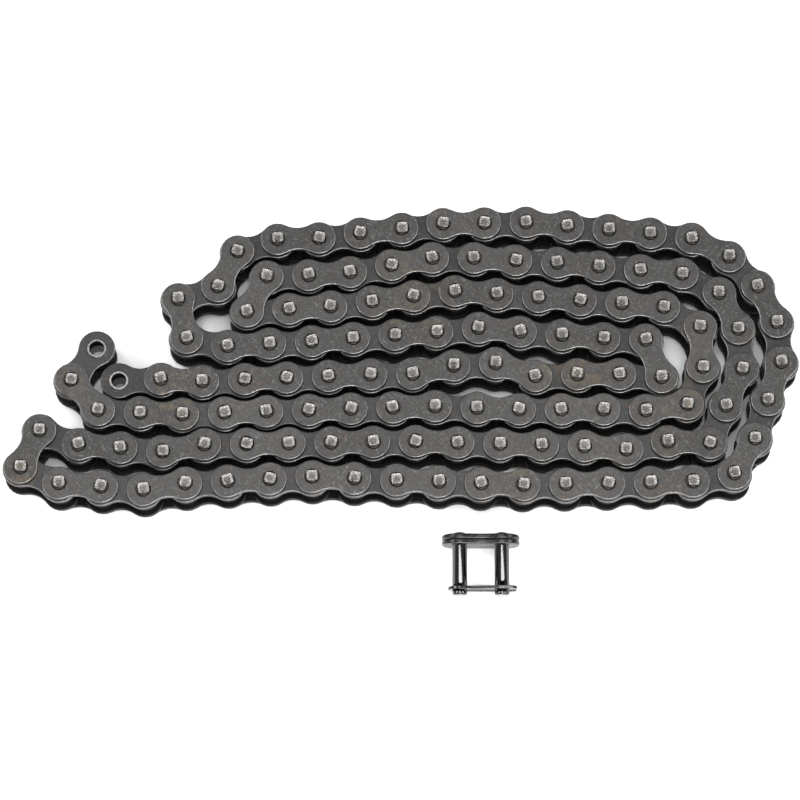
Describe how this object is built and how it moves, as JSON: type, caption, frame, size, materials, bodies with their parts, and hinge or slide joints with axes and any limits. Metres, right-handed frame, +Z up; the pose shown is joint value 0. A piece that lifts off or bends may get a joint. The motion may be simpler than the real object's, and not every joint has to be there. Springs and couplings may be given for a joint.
{
  "type": "motorcycle drive chain",
  "caption": "Roller drive chain laid up in nested rows, with riveted pins, spinning rollers, hinged end links and a loose connecting link with cover plate and spring clip.",
  "frame": {"origin": "middle of the footprint, on the surface that the chain lies on", "axes": "+Z up along the pins of the laid links, +X along the rows, -Y towards the connecting link"},
  "size_m": [0.2404, 0.1202, 0.0166],
  "materials": {
    "outer_plate_steel": "satin blackened steel",
    "inner_plate_steel": "satin blackened steel, a little bluer",
    "riveted_pin_steel": "bright staked ends",
    "bush_steel": "ground steel with a bright rim",
    "roller_steel": "smooth blackened steel",
    "connecting_plate_steel": "oiled blackened steel",
    "polished_pin_steel": "polished",
    "clip_steel": "blued spring steel"
  },
  "bodies": {
    "laid_chain": {"outer_plates_upper": "outer_plate_steel", "outer_plates_lower": "outer_plate_steel", "inner_plates_upper": "inner_plate_steel", "inner_plates_lower": "inner_plate_steel", "riveted_pins": "riveted_pin_steel", "bushes": "bush_steel", "laid_rollers": "roller_steel"},
    "end_1_link": {"end_1_inner_plate_upper": "inner_plate_steel", "end_1_inner_plate_lower": "inner_plate_steel", "end_1_open_bush": "bush_steel", "end_1_pinned_bush": "bush_steel"},
    "end_2_outer_link": {"end_2_outer_plate_upper": "outer_plate_steel", "end_2_outer_plate_lower": "outer_plate_steel", "end_2_outer_pins": "riveted_pin_steel"},
    "end_2_inner_link": {"end_2_inner_plate_upper": "inner_plate_steel", "end_2_inner_plate_lower": "inner_plate_steel", "end_2_open_bush": "bush_steel", "end_2_pinned_bush": "bush_steel"},
    "connecting_link": {"connecting_fixed_plate": "connecting_plate_steel", "connecting_pin_left": "polished_pin_steel", "connecting_pin_right": "polished_pin_steel"},
    "cover_plate": {"connecting_cover_plate": "connecting_plate_steel"},
    "spring_clip": {"connecting_spring_clip": "clip_steel"},
    "end_1_open_roller": {"end_1_open_roller": "roller_steel"},
    "end_1_pinned_roller": {"end_1_pinned_roller": "roller_steel"},
    "end_2_open_roller": {"end_2_open_roller": "roller_steel"},
    "end_2_pinned_roller": {"end_2_pinned_roller": "roller_steel"},
    "roller_033": {"roller_033": "roller_steel"},
    "roller_034": {"roller_034": "roller_steel"},
    "roller_035": {"roller_035": "roller_steel"},
    "roller_036": {"roller_036": "roller_steel"},
    "roller_037": {"roller_037": "roller_steel"},
    "roller_038": {"roller_038": "roller_steel"},
    "roller_039": {"roller_039": "roller_steel"},
    "roller_040": {"roller_040": "roller_steel"},
    "roller_041": {"roller_041": "roller_steel"},
    "roller_042": {"roller_042": "roller_steel"},
    "roller_043": {"roller_043": "roller_steel"},
    "roller_044": {"roller_044": "roller_steel"},
    "roller_045": {"roller_045": "roller_steel"},
    "roller_046": {"roller_046": "roller_steel"},
    "roller_047": {"roller_047": "roller_steel"},
    "roller_048": {"roller_048": "roller_steel"},
    "roller_049": {"roller_049": "roller_steel"},
    "roller_050": {"roller_050": "roller_steel"},
    "roller_051": {"roller_051": "roller_steel"},
    "roller_052": {"roller_052": "roller_steel"},
    "roller_053": {"roller_053": "roller_steel"},
    "roller_054": {"roller_054": "roller_steel"},
    "roller_055": {"roller_055": "roller_steel"},
    "roller_056": {"roller_056": "roller_steel"},
    "roller_057": {"roller_057": "roller_steel"},
    "roller_058": {"roller_058": "roller_steel"},
    "roller_059": {"roller_059": "roller_steel"},
    "roller_060": {"roller_060": "roller_steel"},
    "roller_061": {"roller_061": "roller_steel"},
    "roller_062": {"roller_062": "roller_steel"},
    "roller_063": {"roller_063": "roller_steel"},
    "roller_064": {"roller_064": "roller_steel"}
  },
  "joints": [
    {"name": "end_2_link_pivot", "type": "hinge", "parent": "end_2_outer_link", "child": "end_2_inner_link", "pos_m": [-0.10003, 0.00436, 0.0083], "axis": [0, 0, 1], "range_deg": [0, 105]},
    {"name": "end_2_outer_link_pivot", "type": "hinge", "parent": "laid_chain", "child": "end_2_outer_link", "pos_m": [-0.09163, -0.00516, 0.0083], "axis": [0, 0, 1], "range_deg": [0, 26]},
    {"name": "end_1_link_pivot", "type": "hinge", "parent": "laid_chain", "child": "end_1_link", "pos_m": [-0.07301, 0.00459, 0.0083], "axis": [0, 0, 1], "range_deg": [-3, 0.4]},
    {"name": "connecting_link_slide", "type": "slide", "parent": "laid_chain", "child": "connecting_link", "axis": [0, -1, 0], "range_m": [0, 0.03]},
    {"name": "cover_plate_slide", "type": "slide", "parent": "connecting_link", "child": "cover_plate", "axis": [0, -0.9967, -0.0815], "range_m": [0, 0.0124]},
    {"name": "spring_clip_slide", "type": "slide", "parent": "connecting_link", "child": "spring_clip", "axis": [-1, 0, 0], "range_m": [0, 0.019]},
    {"name": "end_2_open_roller_spin", "type": "hinge", "parent": "end_2_inner_link", "child": "end_2_open_roller", "pos_m": [-0.0926, 0.01466, 0.0083], "axis": [0, 0, 1], "continuous": true},
    {"name": "end_1_open_roller_spin", "type": "hinge", "parent": "end_1_link", "child": "end_1_open_roller", "pos_m": [-0.08571, 0.00452, 0.0083], "axis": [0, 0, 1], "continuous": true},
    {"name": "end_2_pinned_roller_spin", "type": "hinge", "parent": "end_2_inner_link", "child": "end_2_pinned_roller", "pos_m": [-0.10003, 0.00436, 0.0083], "axis": [0, 0, 1], "continuous": true},
    {"name": "end_1_pinned_roller_spin", "type": "hinge", "parent": "end_1_link", "child": "end_1_pinned_roller", "pos_m": [-0.07301, 0.00459, 0.0083], "axis": [0, 0, 1], "continuous": true},
    {"name": "roller_033_spin", "type": "hinge", "parent": "laid_chain", "child": "roller_033", "pos_m": [0.01244, 0.05406, 0.0083], "axis": [0, 0, 1], "continuous": true},
    {"name": "roller_034_spin", "type": "hinge", "parent": "laid_chain", "child": "roller_034", "pos_m": [0.02514, 0.05427, 0.0083], "axis": [0, 0, 1], "continuous": true},
    {"name": "roller_035_spin", "type": "hinge", "parent": "laid_chain", "child": "roller_035", "pos_m": [0.03783, 0.05451, 0.0083], "axis": [0, 0, 1], "continuous": true},
    {"name": "roller_036_spin", "type": "hinge", "parent": "laid_chain", "child": "roller_036", "pos_m": [0.05048, 0.05334, 0.0083], "axis": [0, 0, 1], "continuous": true},
    {"name": "roller_037_spin", "type": "hinge", "parent": "laid_chain", "child": "roller_037", "pos_m": [0.06313, 0.05218, 0.0083], "axis": [0, 0, 1], "continuous": true},
    {"name": "roller_038_spin", "type": "hinge", "parent": "laid_chain", "child": "roller_038", "pos_m": [0.07577, 0.05101, 0.0083], "axis": [0, 0, 1], "continuous": true},
    {"name": "roller_039_spin", "type": "hinge", "parent": "laid_chain", "child": "roller_039", "pos_m": [0.08837, 0.04936, 0.0083], "axis": [0, 0, 1], "continuous": true},
    {"name": "roller_040_spin", "type": "hinge", "parent": "laid_chain", "child": "roller_040", "pos_m": [0.09961, 0.04346, 0.0083], "axis": [0, 0, 1], "continuous": true},
    {"name": "roller_041_spin", "type": "hinge", "parent": "laid_chain", "child": "roller_041", "pos_m": [0.10813, 0.03404, 0.0083], "axis": [0, 0, 1], "continuous": true},
    {"name": "roller_042_spin", "type": "hinge", "parent": "laid_chain", "child": "roller_042", "pos_m": [0.11364, 0.0226, 0.0083], "axis": [0, 0, 1], "continuous": true},
    {"name": "roller_043_spin", "type": "hinge", "parent": "laid_chain", "child": "roller_043", "pos_m": [0.11465, 0.00994, 0.0083], "axis": [0, 0, 1], "continuous": true},
    {"name": "roller_044_spin", "type": "hinge", "parent": "laid_chain", "child": "roller_044", "pos_m": [0.11025, -0.00197, 0.0083], "axis": [0, 0, 1], "continuous": true},
    {"name": "roller_045_spin", "type": "hinge", "parent": "laid_chain", "child": "roller_045", "pos_m": [0.10618, -0.014, 0.0083], "axis": [0, 0, 1], "continuous": true},
    {"name": "roller_046_spin", "type": "hinge", "parent": "laid_chain", "child": "roller_046", "pos_m": [0.09966, -0.0249, 0.0083], "axis": [0, 0, 1], "continuous": true},
    {"name": "roller_047_spin", "type": "hinge", "parent": "laid_chain", "child": "roller_047", "pos_m": [0.0872, -0.02737, 0.0083], "axis": [0, 0, 1], "continuous": true},
    {"name": "roller_048_spin", "type": "hinge", "parent": "laid_chain", "child": "roller_048", "pos_m": [0.0745, -0.02773, 0.0083], "axis": [0, 0, 1], "continuous": true},
    {"name": "roller_049_spin", "type": "hinge", "parent": "laid_chain", "child": "roller_049", "pos_m": [0.06181, -0.02798, 0.0083], "axis": [0, 0, 1], "continuous": true},
    {"name": "roller_050_spin", "type": "hinge", "parent": "laid_chain", "child": "roller_050", "pos_m": [0.04911, -0.02823, 0.0083], "axis": [0, 0, 1], "continuous": true},
    {"name": "roller_051_spin", "type": "hinge", "parent": "laid_chain", "child": "roller_051", "pos_m": [0.03641, -0.02846, 0.0083], "axis": [0, 0, 1], "continuous": true},
    {"name": "roller_052_spin", "type": "hinge", "parent": "laid_chain", "child": "roller_052", "pos_m": [0.02372, -0.02799, 0.0083], "axis": [0, 0, 1], "continuous": true},
    {"name": "roller_053_spin", "type": "hinge", "parent": "laid_chain", "child": "roller_053", "pos_m": [0.01103, -0.02749, 0.0083], "axis": [0, 0, 1], "continuous": true},
    {"name": "roller_054_spin", "type": "hinge", "parent": "laid_chain", "child": "roller_054", "pos_m": [-0.00166, -0.02699, 0.0083], "axis": [0, 0, 1], "continuous": true},
    {"name": "roller_055_spin", "type": "hinge", "parent": "laid_chain", "child": "roller_055", "pos_m": [-0.01435, -0.02649, 0.0083], "axis": [0, 0, 1], "continuous": true},
    {"name": "roller_056_spin", "type": "hinge", "parent": "laid_chain", "child": "roller_056", "pos_m": [-0.02704, -0.02596, 0.0083], "axis": [0, 0, 1], "continuous": true},
    {"name": "roller_057_spin", "type": "hinge", "parent": "laid_chain", "child": "roller_057", "pos_m": [-0.03972, -0.02665, 0.0083], "axis": [0, 0, 1], "continuous": true},
    {"name": "roller_058_spin", "type": "hinge", "parent": "laid_chain", "child": "roller_058", "pos_m": [-0.0524, -0.02732, 0.0083], "axis": [0, 0, 1], "continuous": true},
    {"name": "roller_059_spin", "type": "hinge", "parent": "laid_chain", "child": "roller_059", "pos_m": [-0.06508, -0.028, 0.0083], "axis": [0, 0, 1], "continuous": true},
    {"name": "roller_060_spin", "type": "hinge", "parent": "laid_chain", "child": "roller_060", "pos_m": [-0.07763, -0.02999, 0.0083], "axis": [0, 0, 1], "continuous": true},
    {"name": "roller_061_spin", "type": "hinge", "parent": "laid_chain", "child": "roller_061", "pos_m": [-0.09029, -0.02898, 0.0083], "axis": [0, 0, 1], "continuous": true},
    {"name": "roller_062_spin", "type": "hinge", "parent": "laid_chain", "child": "roller_062", "pos_m": [-0.10294, -0.02793, 0.0083], "axis": [0, 0, 1], "continuous": true},
    {"name": "roller_063_spin", "type": "hinge", "parent": "laid_chain", "child": "roller_063", "pos_m": [-0.11465, -0.02301, 0.0083], "axis": [0, 0, 1], "continuous": true},
    {"name": "roller_064_spin", "type": "hinge", "parent": "laid_chain", "child": "roller_064", "pos_m": [-0.10924, -0.01152, 0.0083], "axis": [0, 0, 1], "continuous": true}
  ]
}
